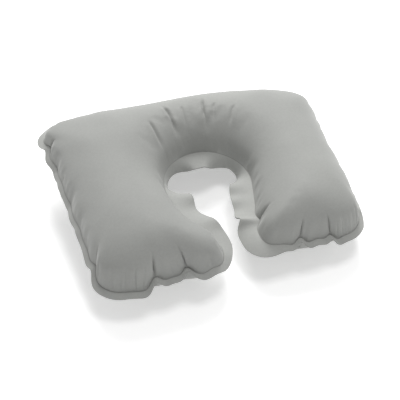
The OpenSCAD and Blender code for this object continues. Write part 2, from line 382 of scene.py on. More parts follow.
# %% Notches in the weld
# x, y, depth, rise of the weld, width, length of the fold up the sheet
NOTCHES = [
    (-104, -129, 4.4, 5.0, 4.4, 25), (-66, -130, 3.8, 4.5, 4.2, 27),
    (-43, -126, 2.2, 3.0, 3.6, 12), (-33, -115, 1.6, 2.0, 3.4, 10),
    (-160, -98, 4.0, 3.0, 5.0, 14), (-167, -44, 1.5, 2.5, 7.0, 6),
    (-172, -6, 1.5, -2.0, 7.0, 6), (-174, 24, 1.4, 2.5, 6.0, 6),
    (-177, 50, 1.5, -2.0, 6.0, 6), (-181, 80, 5.0, 3.0, 5.5, 14),
    (78, -131, 4.0, 5.0, 4.0, 21), (118, -130, 3.4, 4.0, 4.0, 19),
    (41, -88, 4.5, 1.5, 4.5, 20),
    (158, -100, 3.0, 2.5, 5.0, 10), (168, -46, 1.6, 2.0, 6.0, 6),
    (172, -4, 1.6, -2.0, 6.0, 6), (176, 38, 1.6, 2.0, 6.0, 6),
    (181, 80, 3.5, 2.5, 5.5, 12),
    (-128, 118, 2.4, 1.5, 5.0, 9), (-84, 126, 1.8, 1.5, 5.0, 8),
    (-46, 130, 1.6, 1.0, 5.0, 7), (52, 129, 1.6, 1.0, 5.0, 7),
    (92, 125, 1.8, 1.5, 5.0, 8), (132, 117, 2.4, 1.5, 5.0, 9),
]
print(len(NOTCHES), "notches, deepest", max(n[2] for n in NOTCHES), "mm")

# %% Lobes of the weld
# x, y, how far the weld stands out, how far it hangs down, half length
LOBES = [
    (-182, 102, 5.0, 0.0, 20), (-158, -125, 5.0, 12.0, 26),
    (-122, -131, 5.0, 9.0, 18), (-36, -114, 19.0, 5.0, 26),
    (152, -124, 5.0, 9.0, 26), (124, -131, 1.5, 5.0, 14),
    (172, -60, 3.0, 0.0, 40),
    (-85, -131, 1.5, 3.0, 12), (93, -131, 0.5, 1.5, 10),
]
print(len(LOBES), "lobes")

# %% Places along the weld line
loop_closed = np.concatenate([weld_loop, weld_loop[:1]])
loop_run = length_along(loop_closed)
ROUND = loop_run[-1]
rim_run = np.interp(rim_station, np.arange(len(loop_closed)), loop_run)


def place_on_weld(x, y):
    """Distance along the whole weld line of the point nearest to (x, y)."""
    gaps = np.hypot(loop_closed[:, 0] - x, loop_closed[:, 1] - y)
    near = int(np.argmin(gaps[:-1]))
    best, at = 1e9, 0.0
    for k in (near - 1, near):
        a, b = weld_loop[k % len(weld_loop)], weld_loop[(k + 1) % len(weld_loop)]
        side = b - a
        share = float(np.clip((np.array((x, y)) - a) @ side / (side @ side), 0, 1))
        gap = float(np.linalg.norm(np.array((x, y)) - a - share * side))
        if gap < best:
            best = gap
            at = loop_run[k % len(weld_loop)] + share * math.sqrt(side @ side)
    return at


def away(places_run, at):
    """Signed distance along the closed weld line from one place."""
    return (places_run - at + ROUND / 2) % ROUND - ROUND / 2


notch_runs = [place_on_weld(n[0], n[1]) for n in NOTCHES]
lobe_runs = [place_on_weld(n[0], n[1]) for n in LOBES]
print("the whole weld line is", round(ROUND), "mm long")

# %% The gathered weld
SWELL, SWELL_AT, SWELL_WIDTH = 0.45, 2.6, 1.5    # shares of depth and width
ARM_LEAN = 4.0


def gathered(places_run):
    """How far the weld is drawn in, and how far it is lifted, by the notches."""
    drawn = np.zeros(len(places_run))
    lifted = np.zeros(len(places_run))
    for (_, _, depth, rise, width, _), at in zip(NOTCHES, notch_runs):
        off = away(places_run, at)
        swelling = (np.abs(off) - SWELL_AT * width) / (SWELL_WIDTH * width)
        shape = np.exp(-(off / width) ** 2) - SWELL * np.exp(-swelling ** 2)
        drawn += depth * shape
        lifted += rise * shape
    for (_, _, stands, hangs, reach), at in zip(LOBES, lobe_runs):
        shape = np.exp(-(away(places_run, at) / reach) ** 2)
        drawn -= stands * shape
        lifted -= hangs * shape
    return drawn, lifted


rim_target = np.stack([np.interp(rim_station, np.arange(len(loop_closed)),
                                 loop_closed[:, k]) for k in (0, 1)], 1)
drawn, lifted = gathered(rim_run)
rim_out = unit(even_out(outward(rim_target), 2, "wrap"))
rim_target = rim_target - rim_out * drawn[:, None]
# the left arm's end and the right arm's outer side lean to the other arm
lean = ease((-40 - rim_target[:, 1]) / 90) * (rim_target[:, 0] < 0)
rim_target[:, 0] += ARM_LEAN * lean
lean = ease((-60 - rim_target[:, 1]) / 70) * ease((rim_target[:, 0] - 90) / 70)
rim_target[:, 0] -= ARM_LEAN * lean
weld_target = np.column_stack([rim_target, lifted])
print("weld drawn in by up to", drawn.max().round(1), "mm, lifted by up to",
      lifted.max().round(1), "mm")

# %% [markdown]
# ## Inflate it
# The two sheets share the points of the weld. They start as two domes over
# the finished outline, while a shape key keeps the flat cut as the length
# that the cloth wants to have. Pressure then fills the chamber and the weld
# is held softly near its place. The cloth is simulated at ten times its
# size, where Blender's solver is steadier, and without gravity.

# %% Start shape of the chamber
SIM_SCALE = 10.0
DOME_HEIGHT, DOME_REACH = 53.0, 80.0
BATCH = 1500    # points at a time, so that the tables of distances stay small
TOUCH = 1e-3    # keeps a distance of nothing out of a division
count = len(flat_points)
on_rim = np.zeros(count, bool)
on_rim[rim_index] = True
under = np.full(count, -1)
under[on_rim] = np.flatnonzero(on_rim)
under[~on_rim] = count + np.arange((~on_rim).sum())
flat_all = np.concatenate([flat_points, flat_points[~on_rim]])
side = np.concatenate([np.where(on_rim, 0, 1), -np.ones((~on_rim).sum())])
upper_faces = triangles
lower_faces = under[triangles][:, ::-1]
pull = np.empty((len(flat_all), 2))
rim_pull = rim_target - rim_flat
for first in range(0, len(flat_all), BATCH):
    part = flat_all[first:first + BATCH]
    gap2 = ((part[:, None] - rim_flat[None]) ** 2).sum(2) + TOUCH
    weight = 1 / gap2 ** 1.5
    pull[first:first + BATCH] = weight @ rim_pull / weight.sum(1)[:, None]
rim_gap = distance_to(flat_all, rim_flat)
dome_share = 1 - np.clip(rim_gap / DOME_REACH, 0, 1)
dome = DOME_HEIGHT * np.sqrt(1 - dome_share ** 2) * side
start_shape = np.column_stack([flat_all + pull, dome])
start_shape[rim_index] = weld_target
print("start shape has", len(start_shape), "points")


# %% Cloth simulation
FRAMES = 42
PRESSURE, STIFFNESS, DAMPING, BENDING = 3.0, 40.0, 5.0, 0.5
HOLD, HOLD_STIFFNESS = 0.6, 3.0


def inflate(start, flat, faces, frames):
    """Blow up the welded sheets and return where their points end."""
    scale = SIM_SCALE * MM
    mesh = bpy.data.meshes.new("blank")
    mesh.from_pydata((start * scale).tolist(), [], faces.tolist())
    blank = bpy.data.objects.new("blank", mesh)
    bpy.context.scene.collection.objects.link(blank)
    blank.shape_key_add(name="Basis")
    cut = blank.shape_key_add(name="flat_cut")
    cut.data.foreach_set("co", (flat * scale).ravel())
    cut.value = 0
    hold = blank.vertex_groups.new(name="weld")
    hold.add([int(i) for i in rim_index], HOLD, "REPLACE")
    cloth = blank.modifiers.new("air", "CLOTH")
    s = cloth.settings
    s.quality, s.mass, s.air_damping = 8, 0.3, 1.0
    s.tension_stiffness = s.compression_stiffness = STIFFNESS
    s.shear_stiffness = STIFFNESS
    s.tension_damping = s.compression_damping = s.shear_damping = DAMPING
    s.bending_stiffness = s.bending_damping = BENDING
    s.vertex_group_mass, s.pin_stiffness = "weld", HOLD_STIFFNESS
    s.rest_shape_key = cut
    s.use_pressure, s.uniform_pressure_force = True, PRESSURE
    s.effector_weights.gravity = 0
    cloth.collision_settings.use_collision = False
    cloth.collision_settings.use_self_collision = False
    cloth.point_cache.frame_start, cloth.point_cache.frame_end = 1, frames
    scene = bpy.context.scene
    scene.frame_start, scene.frame_end = 1, frames
    for number in range(1, frames + 1):
        scene.frame_set(number)
    graph = bpy.context.evaluated_depsgraph_get()
    done = np.empty(len(start) * 3, np.float32)
    blank.evaluated_get(graph).data.vertices.foreach_get("co", done)
    bpy.data.objects.remove(blank)
    bpy.data.meshes.remove(mesh)
    scene.frame_set(1)
    return done.reshape(-1, 3).astype(float) / scale


flat_3d = np.column_stack([flat_all, np.zeros(len(flat_all))])
full_shape = inflate(start_shape, flat_3d,
                     np.concatenate([upper_faces, lower_faces]), FRAMES)
print("inflated, in mm:", full_shape.min(0).round(1), full_shape.max(0).round(1))

# %% [markdown]
# ## Bring the weld to its line and set the pillow down
# The soft hold leaves the weld a little off its line, so the last part is
# done by moving it, and the sheet near it goes along. A full U also springs
# into a slight saddle: one back corner lifts and the other drops. Where the
# lower sheet would pass through the ground, it is pressed flat on it.

# %% Settle
WELD_REACH = 28.0    # how far into the sheets the correction of the weld fades
rim_error = weld_target - full_shape[rim_index]
settled = full_shape.copy()
for first in range(0, len(settled), BATCH):
    part = settled[first:first + BATCH]
    gap2 = ((part[:, None] - full_shape[rim_index][None]) ** 2).sum(2) + TOUCH
    weight = 1 / gap2 ** 1.5
    nearest = np.sqrt(gap2.min(1))
    fade = np.exp(-(nearest / WELD_REACH) ** 2)[:, None]
    settled[first:first + BATCH] += fade * (weight @ rim_error
                                            / weight.sum(1)[:, None])
settled[:, 2] += SEAM_Z
print("weld moved", np.linalg.norm(rim_error, axis=1).max().round(1),
      "mm at most")

# %% The saddle, the valve's seat and the ground
SADDLE_TILT, SADDLE_LIFT = -22.5, 7.0    # at TILT_X to the right, and all over
TILT_X, BACK_RUN = 173.0, 240.0
TOP_SHARE = 0.55    # of the saddle that the top of the pillow doesn't follow
TOP_START, TOP_RUN = 8.0, 45.0    # above the weld
CALM_R, CALM_RUN = 20.0, 110.0    # round the valve, which stays in its place
MOUTH_HEIGHT = 3.0    # of the valve's mouth over the sheet
mouth = next(m for m in frame["record"]["mounts"] if m["name"] == "valve_mouth")
VALVE_AXIS = np.array(mouth["axis"])
VALVE_ON_SHEET = np.array(mouth["pos_m"]) / MM - MOUTH_HEIGHT * VALVE_AXIS
SEAT_R, SEAT_RUN, SEAT_DEPTH = 18.0, 22.0, 25.0
WELD_STRIP, WELD_RUN = 1.0, 11.0    # the seat doesn't move the sheet at the weld
SHEET_T = 0.45
GROUND_Z = SHEET_T + 0.1    # the lowest place for the inner face of a sheet
GROUND_SOFT = 3.0


def saddle(points):
    """Lift the left of the back and let the right of it drop."""
    back_share = (points[:, 1] - FRONT_Y) / BACK_RUN
    rise = (SADDLE_TILT * points[:, 0] / TILT_X + SADDLE_LIFT) * back_share
    from_valve = np.linalg.norm(points - VALVE_ON_SHEET, axis=1)
    above = ease((points[:, 2] - SEAM_Z - TOP_START) / TOP_RUN)
    rise = rise * (1 - TOP_SHARE * above)
    lifted_points = points.copy()
    lifted_points[:, 2] += rise * ease((from_valve - CALM_R) / CALM_RUN)
    return lifted_points


def seat(points, from_weld):
    """Press the sheet flat round the valve, where the collar is welded."""
    local = points - VALVE_ON_SHEET
    height = local @ VALVE_AXIS
    radial = np.linalg.norm(local - height[:, None] * VALVE_AXIS, axis=1)
    near = (1 - ease((radial - SEAT_R) / SEAT_RUN)) * (np.abs(height) < SEAT_DEPTH)
    near = near * ease((from_weld - WELD_STRIP) / WELD_RUN)
    return points - ((height + SHEET_T) * near)[:, None] * VALVE_AXIS


def ground(points):
    """Press the lower sheet flat where it lies on the ground."""
    pressed = points.copy()
    z = pressed[:, 2] - GROUND_Z
    pressed[:, 2] = (z + np.sqrt(z * z + GROUND_SOFT ** 2)) / 2 + GROUND_Z
    return pressed


settled = saddle(settled)
print("before the ground, in mm: lowest", settled[:, 2].min().round(1),
      "highest", settled[:, 2].max().round(1))
settled = ground(settled)
rail = settled[rim_index]

# %% [markdown]
# ## Two sheets
# The chamber is split at the weld into an upper and a lower sheet, each its
# own object, and smoothed by one subdivision. Each point keeps its place on
# the flat cut as an attribute, because folds are easiest to place there:
# on the flat sheet a fold from the weld is a straight line.

# %% Make the sheets
def make_sheet(name, faces):
    """One half of the chamber as a smooth mesh that knows its flat cut."""
    used, compact = np.unique(faces, return_inverse=True)
    mesh = bpy.data.meshes.new(name)
    mesh.from_pydata((settled[used] * MM).tolist(), [],
                     compact.reshape(-1, 3).tolist())
    cut = mesh.attributes.new("flat_cut", "FLOAT_VECTOR", "POINT")
    cut.data.foreach_set("vector", flat_3d[used].ravel())
    piece = bpy.data.objects.new(name, mesh)
    bpy.context.scene.collection.objects.link(piece)
    smooth = piece.modifiers.new("smooth", "SUBSURF")
    smooth.levels = smooth.render_levels = 1
    bpy.ops.object.select_all(action="DESELECT")
    piece.select_set(True)
    bpy.context.view_layer.objects.active = piece
    bpy.ops.object.modifier_apply(modifier="smooth")
    return piece


def read_points(piece):
    """Places, flat places and outward directions of a piece's points."""
    mesh = piece.data
    total = len(mesh.vertices)
    place, flat, normal = (np.empty(total * 3) for _ in range(3))
    mesh.vertices.foreach_get("co", place)
    mesh.attributes["flat_cut"].data.foreach_get("vector", flat)
    mesh.vertex_normals.foreach_get("vector", normal)
    return (place.reshape(-1, 3) / MM, flat.reshape(-1, 3)[:, :2],
            normal.reshape(-1, 3))


def write_points(piece, place):
    """Put a piece's points at new places."""
    piece.data.vertices.foreach_set("co", (place * MM).ravel())
    piece.data.update()


upper = make_sheet("upper_sheet", upper_faces)
lower = make_sheet("lower_sheet", lower_faces)
print("upper sheet", len(upper.data.polygons), "faces, lower sheet",
      len(lower.data.polygons))

# %% [markdown]
# ## Folds
# Every notch sends a fold up the sheet, deep at the weld and fading out.
# Across the neck, where the inner curve is too short for the sheet, six
# longer pleats climb the slope. A bump in the material would not show on the
# outline, and a finer cloth would take minutes, so the folds are pressed into
# the mesh: a fold is a narrow valley with a soft ridge on each side, pushed
# along the sheet's own outward direction. The mesh is made finer along the
# folds first, so that they stay crisp.

# %% Fold lines on the flat cut
closed_cut = np.concatenate([cut_loop, cut_loop[:1]])
cut_out = unit(even_out(outward(cut_loop), 2, "wrap"))


def on_cut(at):
    """The place on the flat weld line, and the way into the sheet, there."""
    station = float(np.interp(at, loop_run, np.arange(len(loop_run))))
    spot = np.array([np.interp(station, np.arange(len(closed_cut)),
                               closed_cut[:, k]) for k in (0, 1)])
    return spot, -cut_out[int(round(station)) % len(cut_loop)]


FOLD_DEPTH, FOLD_WIDTH = 0.75, 0.36    # shares of the notch's
folds = []
for (_, _, depth, _, width, reach), at in zip(NOTCHES, notch_runs):
    spot, inward = on_cut(at)
    folds.append((spot, spot + inward * reach, FOLD_DEPTH * depth,
                  FOLD_WIDTH * width, "weld"))
print(len(folds), "folds from the notches")

# %% Small gathers and the pleats of the neck
# small gathers round the outer front corners: first and last place, count
CRIMPS = [((-166, -112), (-120, -131), 9), ((128, -130), (165, -108), 7)]
for first_place, last_place, number in CRIMPS:
    ends = place_on_weld(*first_place), place_on_weld(*last_place)
    for k, at in enumerate(np.linspace(*ends, number)):
        spot, inward = on_cut(at + 1.5 * math.sin(3.0 * k))
        folds.append((spot, spot + inward * (8 + 3 * math.sin(2.0 * k)),
                      1.0 + 0.3 * math.sin(4.0 * k), 1.1, "weld"))
# pleats across the neck: both ends on the flat cut, depth, width
NECK_PLEATS = [
    ((-39, 27), (-56, 75), 2.4, 1.9), ((-19, 40), (-33, 128), 2.8, 1.9),
    ((-7, 46), (-7, 106), 1.5, 2.1), ((16, 43), (26, 132), 2.8, 1.8),
    ((26, 46), (39, 98), 1.4, 2.1), ((43, 40), (64, 80), 1.5, 2.1),
]
for a, b, depth, width in NECK_PLEATS:
    folds.append((np.array(a, float), np.array(b, float), depth, width, "neck"))
print(len(folds), "folds in all")


# %% Finer mesh along the folds
FINE_REACH = 4.5    # fold widths


def along_fold(points, start, end):
    """Share of the way along a fold and signed distance to its side."""
    line = end - start
    size = np.linalg.norm(line)
    line = line / size
    local = points - start
    return local @ line / size, local @ np.array([-line[1], line[0]])


def refine(piece, kinds):
    """Split the edges that lie near a fold."""
    _, flat, _ = read_points(piece)
    near = np.zeros(len(flat), bool)
    for start, end, _, width, kind in folds:
        if kind not in kinds:
            continue
        share, off = along_fold(flat, start, end)
        near |= ((share > -0.15) & (share < 1.1)
                 & (np.abs(off) < FINE_REACH * width))
    work = bmesh.new()
    work.from_mesh(piece.data)
    work.verts.ensure_lookup_table()
    edges = [e for e in work.edges
             if near[e.verts[0].index] and near[e.verts[1].index]]
    bmesh.ops.subdivide_edges(work, edges=edges, cuts=1, use_grid_fill=True)
    work.to_mesh(piece.data)
    work.free()
    piece.data.update()


refine(upper, ("weld", "neck"))
refine(lower, ("weld",))
print("finer: upper", len(upper.data.polygons), "lower",
      len(lower.data.polygons))


# %% Press the folds
RIDGE, RIDGE_AT, RIDGE_WIDTH = 0.28, 2.4, 1.5    # shares of depth and width
SOFT_AT_WELD = 2.5    # mm next to the weld in which a fold comes in
PLEAT_START, PLEAT_END = 0.35, 0.3    # shares of a pleat that fade


def press_folds(piece, kinds):
    """Push the valleys and ridges of some kinds of folds into a sheet."""
    place, flat, normal = read_points(piece)
    from_weld = distance_to(flat, rim_flat)
    push = np.zeros(len(place))
    for start, end, depth, width, kind in folds:
        if kind not in kinds:
            continue
        share, off = along_fold(flat, start, end)
        valley = -np.exp(-(off / width) ** 2)
        beside = (np.abs(off) - RIDGE_AT * width) / (RIDGE_WIDTH * width)
        ridge = RIDGE * np.exp(-beside ** 2)
        if kind == "weld":
            fade = (1 - ease(share)) ** 1.3 * (share > -0.2)
            fade = fade * ease(from_weld / SOFT_AT_WELD)
        else:
            fade = ease(share / PLEAT_START) * ease((1 - share) / PLEAT_END)
        push += depth * fade * (valley + ridge)
    write_points(piece, place + normal * push[:, None])


press_folds(upper, ("weld", "neck"))
press_folds(lower, ("weld",))
place, flat, _ = read_points(lower)
write_points(lower, seat(place, distance_to(flat, rim_flat)))
print("folds pressed and the valve's seat flattened")

# %% [markdown]
# ## The welded edge
# Outside the weld line the two sheets lie on each other as a flat edge,
# narrow round the outside and wide round the neck. It isn't held by
# anything, so it droops, waves and pinches at the notches. Cloth this narrow
# needs a very fine mesh to wave, so it is built as rows of points that step
# out from the weld, each turned by the droop there.

# %% Droop of the edge
# x, y on the weld line, droop in degrees at the weld and at the cut edge,
# and share of the full width
DROOP = [
    (0, 131, -14, -20, 1), (100, 124, -16, -24, 1), (172, 100, -30, -40, 1),
    (175, 20, -50, -66, 1), (168, -60, -50, -66, 1), (158, -112, -26, -34, 1),
    (135, -130, -10, -16, 1), (93, -131, -8, -14, 0.95),
    (60, -129, -16, -28, 0.85), (42, -122, -26, -40, 0.82),
    (36, -110, -20, -40, 0.95), (38, -97, -8, -24, 1), (41, -84, 8, -6, 1.02),
    (43, -75, 2, -16, 1.02), (46, -64, -8, -26, 1.08), (48, -55, 4, 6, 1.14),
    (51, -44, -6, -14, 1.2), (53, -34, 6, 8, 1.2), (55, -24, 2, -2, 1.14),
    (56, -14, -6, -24, 1.0), (54, 2, -46, -78, 0.9), (47, 16, -70, -100, 0.9),
    (38, 27, -70, -100, 0.8), (29, 35, -40, -60, 0.75), (20, 39, -10, -20, 0.95),
    (10, 42, -4, -10, 1), (0, 43.5, -4, -10, 1), (-12, 42, -6, -12, 1),
    (-22, 39, -20, -28, 0.85), (-31, 34, -60, -80, 0.65),
    (-40, 25, -80, -92, 0.8), (-48, 14, -80, -92, 0.95),
    (-54, 0, -66, -84, 1), (-56, -12, -30, -50, 1.05),
    (-56, -22, -8, -22, 1.12), (-53, -34, 0, -4, 1.18),
    (-50, -44, -14, -30, 1.10), (-48, -54, -16, -32, 1.04),
    (-45, -66, -4, -12, 1.08), (-42, -80, 2, 2, 1.2),
    (-39, -92, -6, -16, 1.08), (-36, -104, -14, -26, 0.78),
    (-38, -119, -44, -60, 0.42),
    (-50, -127, -26, -34, 0.55), (-66, -130, -12, -18, 0.8),
    (-93, -131, -8, -14, 0.95), (-135, -130, -10, -16, 1),
    (-160, -112, -26, -38, 1), (-168, -60, -46, -62, 1), (-172, 0, -46, -62, 1),
    (-178, 60, -44, -58, 1), (-172, 100, -10, -14, 1.1), (-100, 124, -10, -16, 1),
]
droop_run = np.array([place_on_weld(d[0], d[1]) for d in DROOP])
order = np.argsort(droop_run)
droop_run = droop_run[order]
droop_at = np.array([d[2:] for d in DROOP], float)[order]
print(len(DROOP), "places with a droop")

# %% Droop, width and ripple all round
FINE_STEPS, SOFTEN = 1600, 8
PINCH_ROOT, PINCH_TIP = 3.0, 5.0    # degrees for each mm of a notch's depth
# waves of the edge: height, number round the weld, phase
RIPPLES = [(1.6, 61, 1.1), (1.3, 43, 0.4), (0.5, 97, 2.0)]
NECK_CALM = 0.75    # share of the ripple that the wide edge doesn't have


def around(values_run, key_run, key_values):
    """Interpolate round the closed weld line."""
    keys = np.concatenate([[key_run[-1] - ROUND], key_run, [key_run[0] + ROUND]])
    values = np.concatenate([key_values[-1:], key_values, key_values[:1]])
    return np.interp(values_run, keys, values)


fine_run = np.linspace(0, ROUND, FINE_STEPS, endpoint=False)
root_droop, tip_droop, width_share = (
    even_out(around(fine_run, droop_run, column), SOFTEN, "wrap")
    for column in droop_at.T)
for (_, _, depth, _, width, _), at in zip(NOTCHES, notch_runs):
    pinch = np.exp(-(away(fine_run, at) / width) ** 2)
    root_droop += PINCH_ROOT * depth * pinch
    tip_droop += PINCH_TIP * depth * pinch
turn_round = fine_run * 2 * math.pi / ROUND
ripple = sum(height * np.sin(turn_round * number + phase)
             for height, number, phase in RIPPLES)
front_mid = place_on_weld(ARM_MIDDLE, FRONT_Y + OUTER_EDGE)
mirror_mid = ROUND - front_mid
into_neck = np.minimum(fine_run - front_mid, mirror_mid - fine_run)
ripple *= 1 - NECK_CALM * ease((into_neck - 30) / 40)
# the edge widens from the front of each arm to the neck
edge_width = OUTER_EDGE + (NECK_EDGE - OUTER_EDGE) * ease((into_neck - 25) / 45)
edge_width = edge_width * width_share
print("edge width from", edge_width.min().round(1), "to",
      edge_width.max().round(1), "mm")

# %% Rows of the edge, and the way out from the weld
rail_marks = np.concatenate([rim_run, [ROUND]])
fine_loop = np.stack([np.interp(fine_run, loop_run, loop_closed[:, k])
                      for k in (0, 1)], 1)
smooth_out = unit(even_out(outward(fine_loop), 14, "wrap"))
NEAR_ROWS = np.array([0.5, 1.0, 1.5, 2.3])
FAR_ROWS = np.linspace(0, 1, 11)[1:]
# each layer lies this far from the weld's level, and nearest at NIP, in mm
LAYER_GAP, NIP, NIP_WIDTH = 0.30, 1.0, 0.7
PAINTED_SHADE_RUN = 1.5    # mm from the weld to where the painted shade ends and the edge's painted light is full
RIPPLE_TURN, DROOP_CURVE = 4.0, 1.2
print(len(NEAR_ROWS) + len(FAR_ROWS), "rows of points in the edge")


# %% The border of a sheet, and where it is along the weld
def ring_of(work):
    """The open border of a sheet, as one ordered ring that runs clockwise."""
    border = {}
    for edge in work.edges:
        if edge.is_boundary:
            for a, b in (edge.verts, reversed(edge.verts)):
                border.setdefault(a, []).append(b)
    first = max(border, key=lambda v: v.co.y - abs(v.co.x))
    ring, last = [first], None
    while True:
        options = [v for v in border[ring[-1]] if v is not last]
        last = ring[-1]
        step = max(options, key=lambda v: v.co.x) if len(ring) == 1 else options[0]
        if step is first:
            return ring
        ring.append(step)


def marks_of(place):
    """Distance along the weld line of each point of a border."""
    marks = np.empty(len(place))
    seg = np.roll(rail, -1, 0) - rail
    seg_mark = np.diff(rail_marks)
    for k, p in enumerate(place):
        share = np.clip(((p - rail) * seg).sum(1) / (seg * seg).sum(1), 0, 1)
        gap = np.linalg.norm(rail + share[:, None] * seg - p, axis=1)
        best = int(np.argmin(gap))
        marks[k] = rim_run[best] + share[best] * seg_mark[best]
    return np.mod(marks, ROUND)


print("the weld has", len(rail), "points before the sheets are subdivided")


# %% Grow the edge
def add_edge(piece, up):
    """Grow the flat edge out of a sheet's border."""
    work = bmesh.new()
    work.from_mesh(piece.data)
    # the "pressed" layer holds the mask for the painted shade along the weld and
    # the painted light on the flat edge
    pressed = work.verts.layers.float.new("pressed")
    ring = ring_of(work)
    place = np.array([v.co[:] for v in ring]) / MM
    marks = marks_of(place)

    def keyed(values):
        return around(marks, fine_run, values)

    out = unit(np.stack([keyed(smooth_out[:, 0]), keyed(smooth_out[:, 1])], 1))
    width, ripples = keyed(edge_width), keyed(ripple)
    root, tip = np.radians(keyed(root_droop)), np.radians(keyed(tip_droop))
    last_near = NEAR_ROWS[-1]
    far = last_near + (width[:, None] - last_near) * FAR_ROWS[None]
    rows = np.concatenate([np.repeat(NEAR_ROWS[None], len(ring), 0), far], 1)
    previous = np.zeros(len(ring))
    flat_way, high = np.zeros(len(ring)), np.zeros(len(ring))
    before = list(ring)
    grown = []
    for reach in rows.T:
        share = (reach + previous) / 2 / width
        angle = root + (tip - root) * share ** DROOP_CURVE
        angle = angle + np.radians(ripples * RIPPLE_TURN) * ease(share)
        flat_way += (reach - previous) * np.cos(angle)
        high += (reach - previous) * np.sin(angle)
        previous = reach
        part = 1 - np.exp(-((reach - NIP) / NIP_WIDTH) ** 2)
        part = LAYER_GAP * part * up
        spots_3d = np.column_stack([place[:, :2] + out * flat_way[:, None],
                                    place[:, 2] + high + part])
        now = [work.verts.new(p * MM) for p in spots_3d]
        for vert in now:
            vert[pressed] = min(1.0, float(reach.mean()) / PAINTED_SHADE_RUN)
        for k in range(len(ring)):
            j = (k + 1) % len(ring)
            corners = (before[k], before[j], now[j], now[k])
            grown.append(work.faces.new(corners if up > 0 else corners[::-1]))
        before = now
    work.normal_update()
    # every new face has to look the way its sheet does
    if sum(f.normal.z for f in grown) * up < 0:
        bmesh.ops.reverse_faces(work, faces=grown)
    work.to_mesh(piece.data)
    work.free()
    piece.data.update()
    return len(ring)


print("edge stations, upper and lower:", add_edge(upper, 1), add_edge(lower, -1))

# %% [markdown]
# ## The valve's hole and the sheets' thickness
# The collar of the valve is welded into a round hole, so the lower sheet is
# opened there to the collar's radius. A boolean would leave slivers in a
# sheet without thickness, so points are taken out instead, and the rim that
# is left is drawn to a circle. Solidify then gives each sheet its thickness
# outwards, which leaves a hair's gap between the two layers of the edge, as
# between loose layers on the real one.

# %% Open the hole
COLLAR_R = 13.0
HOLE_R = COLLAR_R + 0.05
HOLE_DEPTH = 6.0    # how far from the seat's plane a point still belongs to it
HOLE_TRIM = 0.4
SMOOTH_RING, SMOOTH_PASSES = 6.0, 10


def open_hole(piece):
    """Cut the round hole and draw its rim to an exact circle."""
    work = bmesh.new()
    work.from_mesh(piece.data)

    def radial(vert):
        local = np.array(vert.co) / MM - VALVE_ON_SHEET
        height = local @ VALVE_AXIS
        flat_part = local - height * VALVE_AXIS
        return abs(height), np.linalg.norm(flat_part), flat_part

    inside = [v for v in work.verts
              if radial(v)[0] < HOLE_DEPTH
              and radial(v)[1] < COLLAR_R - HOLE_TRIM]
    rim = {u for v in inside for f in v.link_faces for u in f.verts} - set(inside)
    bmesh.ops.delete(work, geom=inside, context="VERTS")
    target = VALVE_ON_SHEET - SHEET_T * VALVE_AXIS
    for vert in rim:
        _, size, flat_part = radial(vert)
        vert.co = Vector((target + flat_part / size * HOLE_R) * MM)
    # even out the sheet next to the hole, so that no triangle folds over
    beside = [v for v in work.verts if not v.is_boundary
              and radial(v)[0] < HOLE_DEPTH
              and radial(v)[1] < COLLAR_R + SMOOTH_RING]
    for _ in range(SMOOTH_PASSES):
        bmesh.ops.smooth_vert(work, verts=beside, factor=0.5,
                              use_axis_x=True, use_axis_y=True, use_axis_z=True)
    work.to_mesh(piece.data)
    work.free()
    piece.data.update()
    return len(rim)


print("the hole's rim has", open_hole(lower), "points")


# %% Thickness and smooth shading
SMOOTH_ANGLE = 55.0


def thicken(piece):
    """Give a sheet its thickness and report whether it is closed."""
    bpy.ops.object.select_all(action="DESELECT")
    piece.select_set(True)
    bpy.context.view_layer.objects.active = piece
    wall = piece.modifiers.new("wall", "SOLIDIFY")
    wall.thickness = SHEET_T * MM
    wall.offset = 1.0
    wall.use_rim = True
    bpy.ops.object.modifier_apply(modifier="wall")
    bpy.ops.object.shade_smooth_by_angle(angle=math.radians(SMOOTH_ANGLE))
    work = bmesh.new()
    work.from_mesh(piece.data)
    open_edges = sum(not e.is_manifold for e in work.edges)
    volume = work.calc_volume(signed=True)
    work.free()
    print(piece.name, len(piece.data.polygons), "faces,", open_edges,
          "open edges, volume", round(volume / MM ** 3 / 1000, 1), "ml")


thicken(upper)
thicken(lower)

# %% [markdown]
# ## Flocked vinyl
# The sheets are covered with short fibres. Flocking is soft and dull, with a
# faint glow where it is seen at a flat angle, a fine grain, and patches
# where the fibres have been brushed one way or the other. Real hair would be
# far too heavy for fibres of half a millimetre, so layers of noise on Object
# coordinates give the grain and the patches, and sheen gives the glow. The
# "pressed" attribute paints shade: a dark line along the weld stands in for
# the shade of a sharp crease that the smooth mesh lacks. It also paints light:
# the flat edge is lighter than the sheets, against the shade that they cast on it.


# %% Small helpers for material nodes
def new_material(name):
    """A new node material, its tree and its shader."""
    material = bpy.data.materials.new(name)
    material.use_nodes = True
    tree = material.node_tree
    return material, tree, tree.nodes["Principled BSDF"]


def noise(tree, where, scale, detail, rough):
    """A grey noise at a scale in cells per metre."""
    node = tree.nodes.new("ShaderNodeTexNoise")
    node.inputs["Scale"].default_value = scale
    node.inputs["Detail"].default_value = detail
    node.inputs["Roughness"].default_value = rough
    tree.links.new(where, node.inputs["Vector"])
    return node.outputs["Fac"]


def ramp(tree, value, low, high):
    """Map a grey value to a run from one colour to another."""
    node = tree.nodes.new("ShaderNodeValToRGB")
    node.color_ramp.elements[0].position = low[0]
    node.color_ramp.elements[0].color = (*low[1], 1)
    node.color_ramp.elements[1].position = high[0]
    node.color_ramp.elements[1].color = (*high[1], 1)
    tree.links.new(value, node.inputs["Fac"])
    return node.outputs["Color"]


def multiply(tree, first, second):
    """The product of two colours."""
    node = tree.nodes.new("ShaderNodeMix")
    node.data_type, node.blend_type = "RGBA", "MULTIPLY"
    node.inputs[0].default_value = 1.0
    tree.links.new(first, node.inputs[6])
    tree.links.new(second, node.inputs[7])
    return node.outputs[2]


